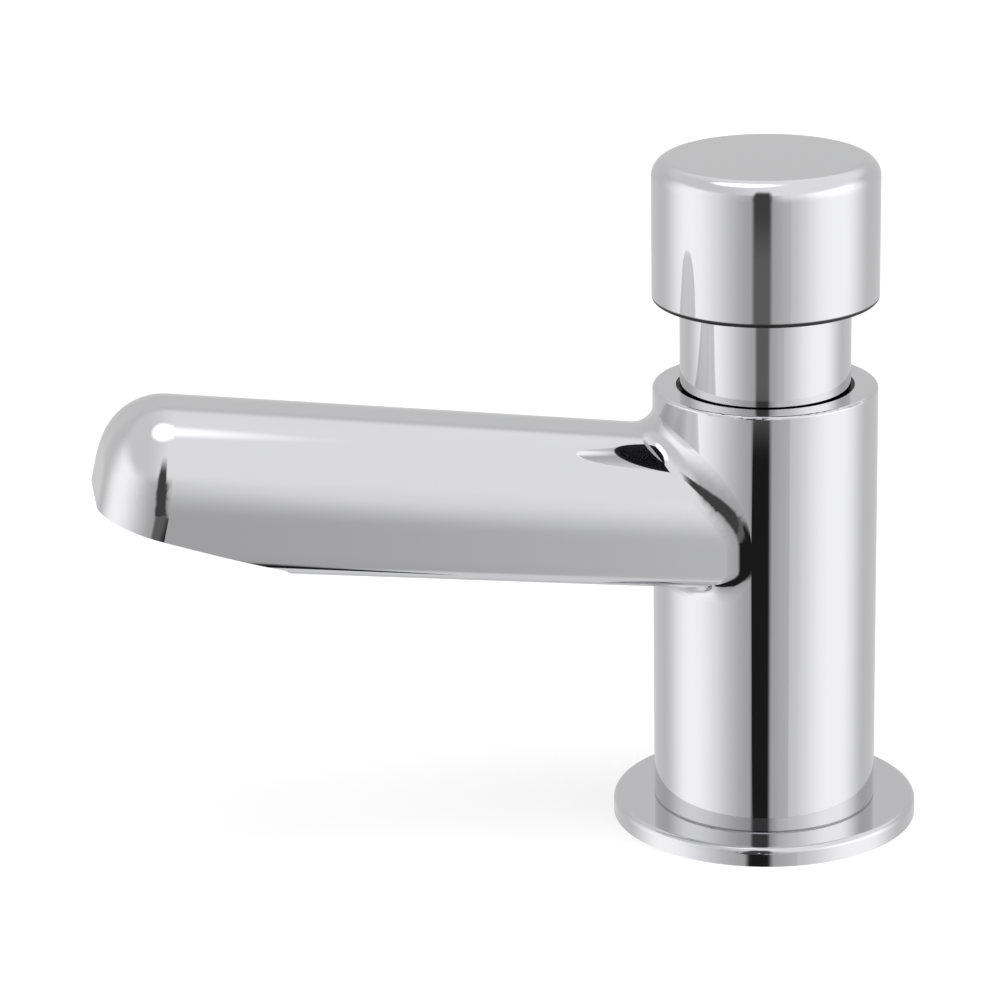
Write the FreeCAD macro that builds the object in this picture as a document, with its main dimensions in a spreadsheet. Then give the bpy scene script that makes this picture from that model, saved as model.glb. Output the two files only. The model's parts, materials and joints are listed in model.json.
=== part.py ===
"""Push-button self-closing basin tap, in millimetres.

The origin is on the tap's axis at the top of the basin deck. +Z is up and the spout points
along -Y. Every piece that comes apart on a bench is a body of its own.
"""

import FreeCAD, Part
import math
import os
import re

import Sketcher

# The driving sizes. Radii and lengths are in millimetres, tilts and rises in degrees.
SIZES = {
    # gaps that the pieces keep from each other
    "seat_gap": 0.05,
    "running_gap": 0.08,
    "seal_gap": 0.03,
    # cast body, measured up from the flange
    "body_radius": 20.0,
    "body_height": 77.75,
    "rim_round": 0.6,
    "foot_bevel": 0.3,
    "thread_step": 1.4,
    "thread_length": 7.0,
    "chamber_radius": 12.6,
    "nose_bore_radius": 11.2,
    "nose_bore_length": 6.0,
    "passage_radius": 8.5,
    "passage_length": 4.6,
    "socket_depth": 14.0,
    "guide_ring_depth": 1.65,
    "guide_ring_height": 2.5,
    "guide_ring_wall": 1.72,
    "window_radius": 3.5,
    "window_drop": 8.0,
    "window_rise": 27.0,
    # spout
    "spout_reach": 119.35,
    "spout_side_inset": 1.8,
    "spout_drop": 10.0,
    "spout_height": 24.0,
    "spout_top_rise": 7.25,
    "spout_bottom_rise": 6.2,
    "spout_top_round": 15.4,
    "spout_bottom_round": 4.6,
    "spout_wall": 3.0,
    "spout_side_wall": 9.2,
    "junction_round": 3.2,
    "junction_side_round": 13.0,
    "core_nose_flat": 0.4,
    "tip_lean": 12.9,
    "tip_round": 11.2,
    "outlet_length": 31.4,
    "outlet_step": 1.3,
    "outlet_tilt": 18.8,
    "outlet_centre": 16.4,
    # aerator set, in its own frame with the outlet face at zero
    "aerator_bore_radius": 12.0,
    "aerator_bore_depth": 11.0,
    "aerator_ledge": 2.5,
    "aerator_shelf": 2.0,
    "aerator_recess": 0.3,
    "aerator_height": 8.7,
    "aerator_wall": 1.95,
    "aerator_lip": 1.2,
    "aerator_lip_height": 1.3,
    "insert_height": 5.4,
    "insert_hole_radius": 1.1,
    "insert_hole_pitch": 2.9,
    "mesh_height": 0.4,
    # flange and gasket on the deck
    "flange_radius": 27.45,
    "flange_height": 3.4,
    "flange_round": 1.1,
    "gasket_inset": 2.45,
    "gasket_height": 1.2,
    "gasket_rim_gap": 0.05,
    # threaded shank, with the deck between the gasket and the rubber washer
    "shank_radius": 12.0,
    "shank_bore_radius": 7.0,
    "shank_hole_gap": 0.3,
    "shank_seal_height": 1.6,
    "shank_seal_inset": 0.6,
    "shank_thread_pitch": 1.5,
    "shank_thread_depth": 0.8,
    "shank_thread_turns": 23,
    "shank_spare": 3.5,
    "deck_height": 25.0,
    "rubber_washer_radius": 23.0,
    "rubber_washer_height": 3.0,
    "steel_washer_radius": 22.0,
    "steel_washer_height": 1.5,
    "backnut_flats": 36.0,
    "backnut_height": 9.0,
    "thread_flank": 30.0,
    "nut_land": 0.96,
    "nut_bevel": 30.0,
    "tail_radius": 10.4775,
    "tail_length": 14.0,
    "tail_thread_pitch": 1.814,
    "tail_thread_depth": 1.0,
    "tail_thread_turns": 6,
    "strainer_bore_radius": 8.2,
    "strainer_bore_depth": 10.0,
    "regulator_height": 4.0,
    "regulator_holes": 6,
    "regulator_hole_radius": 1.3,
    "regulator_hole_ring": 4.8,
    "strainer_rim": 1.2,
    "strainer_length": 5.4,
    "strainer_inset": 2.6,
    "strainer_wall": 0.6,
    "strainer_holes": 12,
    "strainer_hole_radius": 0.5,
    # cartridge, with its timing piston above and its valve below
    "housing_bore_radius": 9.0,
    "housing_nose_bore": 8.5,
    "housing_lift": 0.4,
    "housing_ledge": 1.2,
    "housing_ledge_radius": 5.5,
    "port_radius": 2.5,
    "port_level": 5.2,
    "port_count": 4,
    "land_height": 3.8,
    "seal_depth": 1.5,
    "seal_width": 2.4,
    "seal_margin": 0.8,
    "seal_lead": 1.0,
    "seat_radius": 4.5,
    "seat_height": 4.0,
    "seat_groove_depth": 1.1,
    "seat_groove_width": 1.7,
    "seat_lip": 0.8,
    "seat_lip_height": 0.5,
    "head_flange_radius": 11.5,
    "head_flange_height": 2.0,
    "head_spigot": 5.4,
    "bush_radius": 5.5,
    "bush_height": 3.3,
    "bush_inset": 0.1,
    # spindle and what it carries
    "button_travel": 9.0,
    "pressed_gap": 1.0,
    "spindle_radius": 3.5,
    "spindle_step": 0.5,
    "valve_stem_radius": 2.0,
    "stem_spare": 0.5,
    "clip_height": 1.0,
    "clip_depth": 0.6,
    "clip_reach": 1.8,
    "clip_opening": 40.0,
    "piston_gap": 0.4,
    "piston_height": 5.4,
    "piston_head_gap": 0.6,
    "piston_groove": 2.0,
    "piston_cap": 1.0,
    "lip_seal_height": 3.0,
    "lip_seal_wall": 0.6,
    "bleed_radius": 0.5,
    "bleed_ring": 4.9,
    "valve_washer_radius": 6.0,
    "valve_washer_height": 3.0,
    "valve_cup_rim": 0.2,
    "valve_cup_height": 1.0,
    "valve_nut_flats": 7.0,
    "valve_nut_height": 2.5,
    "coil_gap": 1.2,
    "coil_wire_radius": 0.6,
    "coil_turns": 7,
    # button: a neck sleeve in the body's bore with the cap screwed on it
    "neck_radius": 15.15,
    "neck_bore_gap": 0.7,
    "neck_wall": 1.95,
    "neck_depth": 5.15,
    "neck_web": 4.0,
    "neck_engagement": 6.1,
    "cap_radius": 20.07,
    "cap_height": 25.45,
    "cap_lift": 15.75,
    "cap_top_round": 3.2,
    "cap_bottom_round": 0.8,
    "cap_roof": 3.5,
    "cap_hollow_radius": 12.5,
    "cap_bush_radius": 6.0,
    "cap_bush_flange": 2.0,
    "cap_bush_flange_height": 0.95,
    "thrust_washer_radius": 6.5,
    "thrust_washer_height": 0.6,
}

# Points closer than this count as the same when an edge is looked for.
SAME = 0.001

# Places worked out from the sizes. A level is a height above the deck.
PLACES = {
    "rim": "flange_height + body_height",
    "guide_bore_radius": "neck_radius + neck_bore_gap",
    "neck_bottom": "rim - neck_depth",
    "head_top": "neck_bottom - button_travel - pressed_gap",
    "bore_floor": "head_top - head_flange_height",
    "chamber_top": "bore_floor - thread_length",
    "thread_radius": "chamber_radius + thread_step",
    "socket_top": "flange_height + socket_depth",
    "nose_floor": "socket_top + passage_length",
    "seat_level": "nose_floor + nose_bore_length",
    "ring_high": "rim - guide_ring_depth",
    "ring_low": "ring_high - guide_ring_height",
    "ring_groove_radius": "neck_radius + running_gap + guide_ring_wall + seat_gap",
    "shank_top": "socket_top - shank_seal_height",
    "shank_hole_radius": "shank_radius + shank_hole_gap",
    # spout lines, as heights at the tap's axis and at the reaches where they meet
    "spout_top": "rim - spout_drop",
    "spout_bottom": "spout_top - spout_height",
    "spout_width": "2 * (body_radius - spout_side_inset)",
    # the roundings leave a flat between them, even on a narrower or lower spout
    "crown_round": "min(spout_top_round, 0.48 * spout_width, 0.65 * spout_height)",
    "underside_round": "min(spout_bottom_round, 0.96 * spout_height - crown_round)",
    "outlet_start": "spout_reach - outlet_length",
    "outlet_level": "spout_bottom + outlet_start * tan(spout_bottom_rise) + outlet_step",
    "lip_level": "outlet_level + (spout_reach - outlet_start) * tan(outlet_tilt)",
    "tip_top_reach": "(spout_reach - (spout_top - lip_level) * tan(tip_lean))"
    " / (1 + tan(spout_top_rise) * tan(tip_lean))",
    "tip_bottom_reach": "(spout_reach - (spout_bottom - lip_level) * tan(tip_lean))"
    " / (1 + tan(spout_bottom_rise) * tan(tip_lean))",
    "tip_top_level": "spout_top + tip_top_reach * tan(spout_top_rise)",
    "tip_bottom_level": "spout_bottom + tip_bottom_reach * tan(spout_bottom_rise)",
    "outlet_reach": "outlet_start + outlet_centre * cos(outlet_tilt)",
    "outlet_height": "outlet_level + outlet_centre * sin(outlet_tilt)",
    # the waterway in the spout stops short of the aerator's bore and runs on above it
    "core_top": "spout_top - spout_wall / cos(spout_top_rise)",
    "core_bottom": "spout_bottom + spout_wall / cos(spout_bottom_rise)",
    "core_width": "spout_width - 2 * spout_side_wall",
    "core_start": "guide_bore_radius + spout_wall",
    "core_knee": "outlet_start - spout_wall * sin(outlet_tilt)",
    "shelf_depth": "aerator_bore_depth + aerator_shelf",
    "shelf_length": "outlet_centre + aerator_throat_radius / 2",
    "shelf_back": "outlet_start - shelf_depth * sin(outlet_tilt)",
    "shelf_back_level": "outlet_level + shelf_depth * cos(outlet_tilt)",
    "shelf_front": "shelf_back + shelf_length * cos(outlet_tilt)",
    "shelf_front_level": "shelf_back_level + shelf_length * sin(outlet_tilt)",
    "core_nose_height": "core_top + shelf_front * tan(spout_top_rise) - shelf_front_level",
    "core_round": "core_nose_height - core_nose_flat",
    "window_reach": "core_start + spout_wall",
    "window_level": "chamber_top - window_drop"
    " + (window_reach - chamber_radius) * tan(window_rise)",
    # aerator, measured inwards from the outlet face
    "aerator_throat_radius": "aerator_bore_radius - aerator_ledge",
    "aerator_outer": "aerator_bore_radius - seat_gap",
    "aerator_inner": "aerator_outer - aerator_wall",
    "aerator_top": "aerator_recess + aerator_height",
    "insert_floor": "aerator_recess + aerator_lip_height",
    "insert_low": "insert_floor + seat_gap",
    "insert_top": "insert_low + insert_height",
    "insert_radius": "aerator_inner - seat_gap",
    "mesh_low": "insert_top + seat_gap",
    # flange, and the stack under the deck
    "gasket_radius": "flange_radius - gasket_inset",
    "rubber_top": "-deck_height",
    "steel_top": "rubber_top - rubber_washer_height",
    "backnut_top": "steel_top - steel_washer_height",
    "backnut_bottom": "backnut_top - backnut_height",
    "tail_top": "backnut_bottom - shank_spare",
    "tail_bottom": "tail_top - tail_length",
    "regulator_top": "tail_bottom + strainer_bore_depth",
    "strainer_top": "regulator_top - regulator_height",
    "strainer_radius": "strainer_bore_radius - strainer_inset",
    "strainer_bottom": "strainer_top - strainer_length",
    # cartridge
    "housing_radius": "nose_bore_radius - seat_gap",
    "housing_bottom": "nose_floor + housing_lift",
    "land_radius": "chamber_radius - seat_gap",
    "collar_radius": "thread_radius - seat_gap",
    "land_bottom": "chamber_top - land_height",
    "lower_seal": "housing_bottom + seal_margin + seal_lead",
    "upper_seal": "chamber_top - seal_margin - seal_width",
    "seat_top": "seat_level + seat_height",
    "spring_floor": "seat_top + housing_ledge",
    "seat_bush_radius": "housing_nose_bore - seat_gap",
    "seat_groove": "seat_level + (seat_height - seat_groove_width) / 2",
    "head_bottom": "bore_floor - head_spigot",
    "head_groove": "head_bottom + seal_lead",
    "head_seal_radius": "housing_bore_radius - seat_gap",
    "bush_well": "head_top - bush_height - spindle_ring_height",
    "spindle_ring_height": "bush_radius - spindle_radius",
    # moving parts at rest
    "piston_radius": "housing_bore_radius - piston_gap",
    "piston_top": "head_bottom - piston_head_gap",
    "piston_bottom": "piston_top - piston_height",
    "lip_high": "piston_top - piston_cap",
    "lip_low": "lip_high - lip_seal_height",
    "lip_middle": "(lip_low + lip_high) / 2",
    "lip_inner": "piston_radius - piston_groove + seat_gap",
    "rod_radius": "spindle_radius - spindle_step",
    "rod_hole_radius": "rod_radius + seat_gap",
    "coil_radius": "housing_bore_radius - coil_gap - coil_wire_radius",
    "coil_height": "piston_bottom - spring_floor - 2 * (coil_wire_radius + seat_gap)",
    "clip_floor": "rod_radius - clip_depth",
    "stem_hole_radius": "valve_stem_radius + seat_gap",
    "valve_cup_radius": "valve_washer_radius + valve_cup_rim",
    "valve_bottom": "seat_level - valve_washer_height",
    "cup_bottom": "valve_bottom - valve_cup_height",
    "valve_nut_bottom": "cup_bottom - valve_nut_height",
    "cap_bottom": "rim + cap_lift",
    "cap_top": "cap_bottom + cap_height",
    "neck_top": "cap_bottom + neck_engagement",
    "web_bottom": "neck_top - neck_web",
    "neck_groove": "neck_top - neck_web / 2 - seat_groove_width / 2",
    "neck_socket_radius": "neck_radius + seat_gap",
    "spindle_shoulder": "web_bottom - cap_bush_flange_height - seat_gap",
    "thrust_bottom": "neck_top + seat_gap",
    "thrust_top": "thrust_bottom + thrust_washer_height",
    "top_clip": "thrust_top + seat_gap",
    "bush_hole_radius": "rod_radius + running_gap",
}

document = FreeCAD.newDocument("basin_tap")

sheet = document.addObject("Spreadsheet::Sheet", "sizes")
for row, (name, value) in enumerate(SIZES.items(), 1):
    sheet.set(f"A{row}", name)
    sheet.set(f"B{row}", str(value))
    sheet.setAlias(f"B{row}", name)
document.recompute()


def bound(text):
    """The text as an expression, with each size and place given its full name."""

    def full_name(word):
        if word[0] in SIZES:
            return "sizes." + word[0]
        return "places." + word[0] if word[0] in PLACES else word[0]

    return re.sub(r"[a-z_]+", full_name, text)


places = document.addObject("App::VarSet", "places")
for name in PLACES:
    places.addProperty("App::PropertyFloat", name)
for name, text in PLACES.items():
    places.setExpression(name, bound(text))
document.recompute()


def new_body(label):
    body = document.addObject("PartDesign::Body", label)
    body.Label = label
    return body


def origin_feature(body, role):
    return next(item for item in body.Origin.OriginFeatures if item.Role == role)


def new_sketch(body, plane, label, lift=None):
    """A sketch on one of the body's own planes, raised off it by the lift."""
    sketch = body.newObject("Sketcher::SketchObject", label)
    sketch.AttachmentSupport = [(origin_feature(body, plane), "")]
    sketch.MapMode = "FlatFace"
    if lift:
        sketch.setExpression("AttachmentOffset.Base.z", bound(lift))
    return sketch


def hold(sketch, geometry, point, across, up):
    """Fix one point of the sketch at a bound distance from its origin."""
    for kind, axis, text in (("DistanceX", -2, across), ("DistanceY", -1, up)):
        if text == "0":
            sketch.addConstraint(Sketcher.Constraint("PointOnObject", geometry, point, axis))
        else:
            index = sketch.addConstraint(Sketcher.Constraint(kind, -1, 1, geometry, point, 1.0))
            sketch.setExpression(f"Constraints[{index}]", bound(text))


def draw_outline(sketch, corners):
    """A closed outline of straight lines through the corners."""
    count = len(corners)
    start = [
        FreeCAD.Vector(math.cos(math.tau * turn / count), math.sin(math.tau * turn / count), 0)
        for turn in range(count)
    ]
    for index in range(count):
        sketch.addGeometry(Part.LineSegment(start[index], start[(index + 1) % count]))
    for index in range(count):
        following = (index + 1) % count
        sketch.addConstraint(Sketcher.Constraint("Coincident", index, 2, following, 1))
    for index, (across, up) in enumerate(corners):
        hold(sketch, index, 1, across, up)


def draw_circle(sketch, across, up, radius):
    circle = Part.Circle(FreeCAD.Vector(1, 1, 0), FreeCAD.Vector(0, 0, 1), 1)
    index = sketch.addGeometry(circle)
    hold(sketch, index, 3, across, up)
    size = sketch.addConstraint(Sketcher.Constraint("Radius", index, 1.0))
    sketch.setExpression(f"Constraints[{size}]", bound(radius))


def turn_profile(body, kind, corners, label, opening=None):
    """Turn a half outline, given as radius and height, about the body's Z axis."""
    sketch = new_sketch(body, "XZ_Plane", label + "_outline")
    draw_outline(sketch, corners)
    feature = body.newObject(kind, label)
    feature.Profile = sketch
    feature.ReferenceAxis = (sketch, ["V_Axis"])
    feature.Angle = 360
    if opening:
        feature.setExpression("Angle", bound(f"360 - {opening}"))
    document.recompute()
    return feature


def turned(label, corners, opening=None):
    """A whole round piece."""
    body = new_body(label)
    turn_profile(body, "PartDesign::Revolution", corners, label + "_turn", opening)
    return body


def plain_ring(label, inner, outer, low, high, opening=None):
    corners = [(inner, low), (outer, low), (outer, high), (inner, high)]
    return turned(label, corners, opening)


def pad(body, sketch, label, length, midplane=False):
    feature = body.newObject("PartDesign::Pad", label)
    feature.Profile = sketch
    feature.SideType = "Symmetric" if midplane else "One side"
    feature.setExpression("Length", bound(length))
    document.recompute()
    return feature


def pocket(body, sketch, label, length, midplane=False, other_way=False):
    """Cut the sketch into the body, and see that it takes material away."""
    before = body.Shape.Volume
    feature = body.newObject("PartDesign::Pocket", label)
    feature.Profile = sketch
    feature.SideType = "Symmetric" if midplane else "One side"
    feature.Reversed = other_way
    feature.setExpression("Length", bound(length))
    document.recompute()
    if body.Shape.Volume > before - SAME:
        raise RuntimeError(f"{label} cuts nothing")
    return feature


def repeat_around(body, feature, label, count):
    pattern = body.newObject("PartDesign::PolarPattern", label)
    pattern.Originals = [feature]
    pattern.Axis = (origin_feature(body, "Z_Axis"), [""])
    pattern.Angle = 360
    pattern.setExpression("Occurrences", bound(count))
    body.Tip = pattern
    document.recompute()
    return pattern


def repeat_up(body, feature, label, pitch, count):
    pattern = body.newObject("PartDesign::LinearPattern", label)
    pattern.Originals = [feature]
    pattern.Direction = (origin_feature(body, "Z_Axis"), [""])
    pattern.setExpression("Length", bound(f"{pitch} * ({count} - 1)"))
    pattern.setExpression("Occurrences", bound(count))
    body.Tip = pattern
    document.recompute()
    return pattern


def round_edges(body, feature, label, radius, wanted):
    """Round the edges of the feature that pass the test."""
    names = [f"Edge{index}" for index, edge in enumerate(feature.Shape.Edges, 1) if wanted(edge)]
    if not names:
        raise RuntimeError(f"{label} finds no edge")
    fillet = body.newObject("PartDesign::Fillet", label)
    fillet.Base = (feature, names)
    fillet.setExpression("Radius", bound(radius))
    document.recompute()
    return fillet


def samples(edge):
    first, last = edge.FirstParameter, edge.LastParameter
    return [edge.valueAt(first + (last - first) * share) for share in (0, 0.25, 0.5, 0.75, 1)]


def is_circle_at(edge, radius, level):
    """Is the edge a level circle about the Z axis with this radius and height?"""
    return all(
        abs(math.hypot(point.x, point.y) - radius) < SAME and abs(point.z - level) < SAME
        for point in samples(edge)
    )


def drill_tilted(body, label, radius, length, reach, level, tilt):
    """A round hole that starts at a reach along the spout and leans back towards the body."""
    hole = body.newObject("PartDesign::SubtractiveCylinder", label)
    hole.AttachmentSupport = [(origin_feature(body, "XY_Plane"), "")]
    hole.MapMode = "FlatFace"
    away = FreeCAD.Rotation(FreeCAD.Vector(-1, 0, 0), 1)
    hole.AttachmentOffset = FreeCAD.Placement(FreeCAD.Vector(), away)
    hole.setExpression("AttachmentOffset.Base.y", bound(f"-({reach})"))
    hole.setExpression("AttachmentOffset.Base.z", bound(level))
    hole.setExpression("AttachmentOffset.Rotation.Angle", bound(tilt))
    hole.setExpression("Radius", bound(radius))
    hole.setExpression("Height", bound(length))
    document.recompute()
    return hole


def o_ring(label, inner, outer, level):
    """A round-section seal that fills the gap between an inner and an outer wall."""
    ring = document.addObject("Part::Torus", label)
    ring.Label = label
    ring.setExpression("Radius1", bound(f"(({outer}) + ({inner})) / 2"))
    ring.setExpression("Radius2", bound(f"(({outer}) - ({inner})) / 2 - seal_gap"))
    ring.setExpression("Placement.Base.z", bound(level))
    return ring


# Cast body and spout in one, first as a solid blank. The spout is a bar with a leaning tip,
# rounded all along, and its underside is planed off for the outlet.
blank = new_body("casting_blank")
side = new_sketch(blank, "YZ_Plane", "spout_side")
draw_outline(
    side,
    [
        ("0", "spout_bottom"),
        ("0", "spout_top"),
        ("-tip_top_reach", "tip_top_level"),
        ("-tip_bottom_reach", "tip_bottom_level"),
    ],
)
bar = pad(blank, side, "spout_bar", "spout_width", midplane=True)


def on_slope(edge, height, rise):
    """Does the edge lie in the plane that has this height at the axis and rises to the tip?"""
    steepness = math.tan(math.radians(rise))
    return all(abs(point.z - height + point.y * steepness) < SAME for point in samples(edge))


def on_top(edge):
    return on_slope(edge, places.spout_top, SIZES["spout_top_rise"])


def on_underside(edge):
    return on_slope(edge, places.spout_bottom, SIZES["spout_bottom_rise"])


def on_side(edge):
    return all(abs(abs(point.x) - places.spout_width / 2) < SAME for point in samples(edge))


def on_tip(edge):
    steepness = math.tan(math.radians(SIZES["tip_lean"]))
    return all(
        abs(SIZES["spout_reach"] + point.y - (point.z - places.lip_level) * steepness) < SAME
        for point in samples(edge)
    )


crown = round_edges(
    blank, bar, "spout_crown", "crown_round", lambda edge: on_top(edge) and on_side(edge)
)
tip = round_edges(
    blank, crown, "tip_edge", "tip_round", lambda edge: on_tip(edge) and not on_underside(edge)
)
round_edges(
    blank,
    tip,
    "spout_bottom_edge",
    "underside_round",
    lambda edge: on_underside(edge) and samples(edge)[2].y < -SAME,
)

outlet_cut = new_sketch(blank, "YZ_Plane", "outlet_cut")
draw_outline(
    outlet_cut,
    [
        ("-outlet_start", "outlet_level"),
        ("spout_height - outlet_start", "outlet_level - spout_height"),
        ("-spout_reach - spout_height", "outlet_level - spout_height"),
        ("-spout_reach - spout_height", "lip_level + spout_height * tan(outlet_tilt)"),
    ],
)
pocket(blank, outlet_cut, "outlet_face", "spout_width * 2", midplane=True)

column = turn_profile(
    blank,
    "PartDesign::Revolution",
    [
        ("0", "flange_height"),
        ("body_radius - foot_bevel", "flange_height"),
        ("body_radius", "flange_height + foot_bevel"),
        ("body_radius", "rim"),
        ("0", "rim"),
    ],
    "body_column",
)


def is_junction(edge):
    """Does the edge run along the column's wall without being one of its own edges?"""
    points = samples(edge)
    on_wall = all(
        abs(math.hypot(point.x, point.y) - SIZES["body_radius"]) < SAME for point in points
    )
    upright = math.hypot(points[0].x - points[-1].x, points[0].y - points[-1].y) < SAME
    low = SIZES["flange_height"] + SIZES["foot_bevel"] + SAME
    high = places.rim - SAME
    return on_wall and not upright and all(low < point.z < high for point in points)


def junction_size(point):
    """The rounding's radius at a point of the junction, largest along the spout's sides."""
    at_side = abs(point.x) > places.spout_width / 2 - SAME
    return SIZES["junction_side_round"] if at_side else SIZES["junction_round"]


# Where the spout runs into the column. It is almost as wide as the column, so its sides flow
# into it in a wide hollow, and the crown and the underside meet it in a tighter one.
junction = document.addObject("Part::Fillet", "junction")
junction.Base = blank
junction.Edges = [
    (
        index,
        junction_size(edge.valueAt(edge.FirstParameter)),
        junction_size(edge.valueAt(edge.LastParameter)),
    )
    for index, edge in enumerate(column.Shape.Edges, 1)
    if is_junction(edge)
]

# The finished casting, bored and pocketed out of the blank
casting = new_body("body_spout_casting")
casting.BaseFeature = junction
document.recompute()
round_edges(
    casting,
    casting.Tip,
    "rim_edge",
    "rim_round",
    lambda edge: is_circle_at(edge, SIZES["body_radius"], places.rim),
)

# The bores inside the body, from the shank's socket up to the button's guide bore
turn_profile(
    casting,
    "PartDesign::Groove",
    [
        ("0", "flange_height"),
        ("shank_radius + seat_gap", "flange_height"),
        ("shank_radius + seat_gap", "socket_top"),
        ("passage_radius", "socket_top"),
        ("passage_radius", "nose_floor"),
        ("nose_bore_radius", "nose_floor"),
        ("nose_bore_radius", "seat_level"),
        ("chamber_radius", "seat_level"),
        ("chamber_radius", "chamber_top"),
        ("thread_radius", "chamber_top"),
        ("thread_radius", "bore_floor"),
        ("guide_bore_radius", "bore_floor"),
        ("guide_bore_radius", "ring_low"),
        ("ring_groove_radius", "ring_low"),
        ("ring_groove_radius", "ring_high"),
        ("guide_bore_radius", "ring_high"),
        ("guide_bore_radius", "rim"),
        ("0", "rim"),
    ],
    "body_bores",
)

# The waterway: a core along the spout, a slanting window from the chamber, and the outlet
core = new_sketch(casting, "YZ_Plane", "spout_core")
draw_outline(
    core,
    [
        ("-core_start", "core_bottom + core_start * tan(spout_bottom_rise)"),
        ("-core_knee", "core_bottom + core_knee * tan(spout_bottom_rise)"),
        ("-shelf_back", "shelf_back_level"),
        ("-shelf_front", "shelf_front_level"),
        ("-shelf_front", "core_top + shelf_front * tan(spout_top_rise)"),
        ("-core_start", "core_top + core_start * tan(spout_top_rise)"),
    ],
)
waterway = pocket(casting, core, "spout_waterway", "core_width", midplane=True)


def is_core_edge(edge):
    """Is the edge one of the four that run along the waterway?"""
    ends = edge.Vertexes[0].Point, edge.Vertexes[-1].Point
    return (
        all(abs(abs(point.x) - places.core_width / 2) < SAME for point in ends)
        and edge.Length > SIZES["spout_height"] * 2
        and max(point.y for point in ends) < -places.core_start + SAME
    )


round_edges(casting, waterway, "waterway_edges", "core_round", is_core_edge)
drill_tilted(
    casting,
    "window",
    "window_radius",
    "window_reach / cos(window_rise)",
    "window_reach",
    "window_level",
    "90 + window_rise",
)
drill_tilted(
    casting,
    "aerator_bore",
    "aerator_bore_radius",
    "aerator_bore_depth",
    "outlet_reach",
    "outlet_height",
    "outlet_tilt",
)
drill_tilted(
    casting,
    "aerator_throat",
    "aerator_throat_radius",
    "shelf_depth + aerator_shelf",
    "outlet_reach",
    "outlet_height",
    "outlet_tilt",
)

# Aerator set, each piece about its own axis and then leaned into the outlet


def in_outlet(body):
    body.Placement = FreeCAD.Placement(
        FreeCAD.Vector(), FreeCAD.Rotation(FreeCAD.Vector(-1, 0, 0), 1)
    )
    body.setExpression("Placement.Base.y", bound("-outlet_reach"))
    body.setExpression("Placement.Base.z", bound("outlet_height"))
    body.setExpression("Placement.Rotation.Angle", bound("outlet_tilt"))


in_outlet(
    turned(
        "aerator_housing",
        [
            ("aerator_inner - aerator_lip", "aerator_recess"),
            ("aerator_outer", "aerator_recess"),
            ("aerator_outer", "aerator_top"),
            ("aerator_inner", "aerator_top"),
            ("aerator_inner", "insert_floor"),
            ("aerator_inner - aerator_lip", "insert_floor"),
        ],
    )
)

insert = plain_ring("aerator_insert", "0", "insert_radius", "insert_low", "insert_top")
holes = new_sketch(insert, "XY_Plane", "jet_holes", "insert_low")
draw_circle(holes, "0", "0", "insert_hole_radius")
for ring in (1, 2):
    for turn in range(6 * ring):
        way = 60 * turn / ring
        draw_circle(
            holes,
            f"insert_hole_pitch * {ring} * cos({way})",
            f"insert_hole_pitch * {ring} * sin({way})",
            "insert_hole_radius",
        )
pocket(insert, holes, "jets", "insert_height", other_way=True)
in_outlet(insert)

in_outlet(plain_ring("aerator_mesh", "0", "insert_radius", "mesh_low", "mesh_low + mesh_height"))
in_outlet(
    plain_ring(
        "aerator_seal",
        "aerator_throat_radius",
        "aerator_outer",
        "aerator_top + seat_gap",
        "aerator_bore_depth - seat_gap",
    )
)

# Flange with its gasket, flush with the flange's underside
flange = turned(
    "base_flange",
    [
        ("shank_hole_radius", "gasket_height"),
        ("gasket_radius + gasket_rim_gap", "gasket_height"),
        ("gasket_radius + gasket_rim_gap", "0"),
        ("flange_radius", "0"),
        ("flange_radius", "flange_height"),
        ("shank_hole_radius", "flange_height"),
    ],
)
round_edges(
    flange,
    flange.Tip,
    "flange_edge",
    "flange_round",
    lambda edge: is_circle_at(edge, SIZES["flange_radius"], SIZES["flange_height"]),
)
plain_ring("base_gasket", "shank_hole_radius", "gasket_radius", "0", "gasket_height")

# Shank with two ring-grooved threads: the backnut's above and the supply hose's below
shank = turned(
    "threaded_shank",
    [
        ("shank_bore_radius", "regulator_top"),
        ("strainer_bore_radius", "regulator_top"),
        ("strainer_bore_radius", "tail_bottom"),
        ("tail_radius", "tail_bottom"),
        ("tail_radius", "tail_top"),
        ("shank_radius", "tail_top"),
        ("shank_radius", "shank_top"),
        ("shank_bore_radius", "shank_top"),
    ],
)


def cut_thread(label, radius, depth, first, pitch, turns):
    """Ring grooves, one per turn of the thread."""
    groove = turn_profile(
        shank,
        "PartDesign::Groove",
        [
            (radius, f"{first} - {depth} * tan(thread_flank)"),
            (f"{radius} - {depth}", first),
            (radius, f"{first} + {depth} * tan(thread_flank)"),
        ],
        label,
    )
    repeat_up(shank, groove, label + "_turns", pitch, turns)


cut_thread(
    "backnut_thread",
    "shank_radius",
    "shank_thread_depth",
    "tail_top + shank_thread_pitch",
    "shank_thread_pitch",
    "shank_thread_turns",
)
cut_thread(
    "hose_thread",
    "tail_radius",
    "tail_thread_depth",
    "tail_bottom + tail_thread_pitch",
    "tail_thread_pitch",
    "tail_thread_turns",
)

plain_ring(
    "shank_seal_washer",
    "shank_bore_radius + shank_seal_inset",
    "shank_radius - seat_gap",
    "shank_top",
    "socket_top",
)
plain_ring(
    "deck_rubber_washer", "shank_hole_radius", "rubber_washer_radius", "steel_top", "rubber_top"
)
plain_ring(
    "deck_steel_washer", "shank_hole_radius", "steel_washer_radius", "backnut_top", "steel_top"
)


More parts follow.
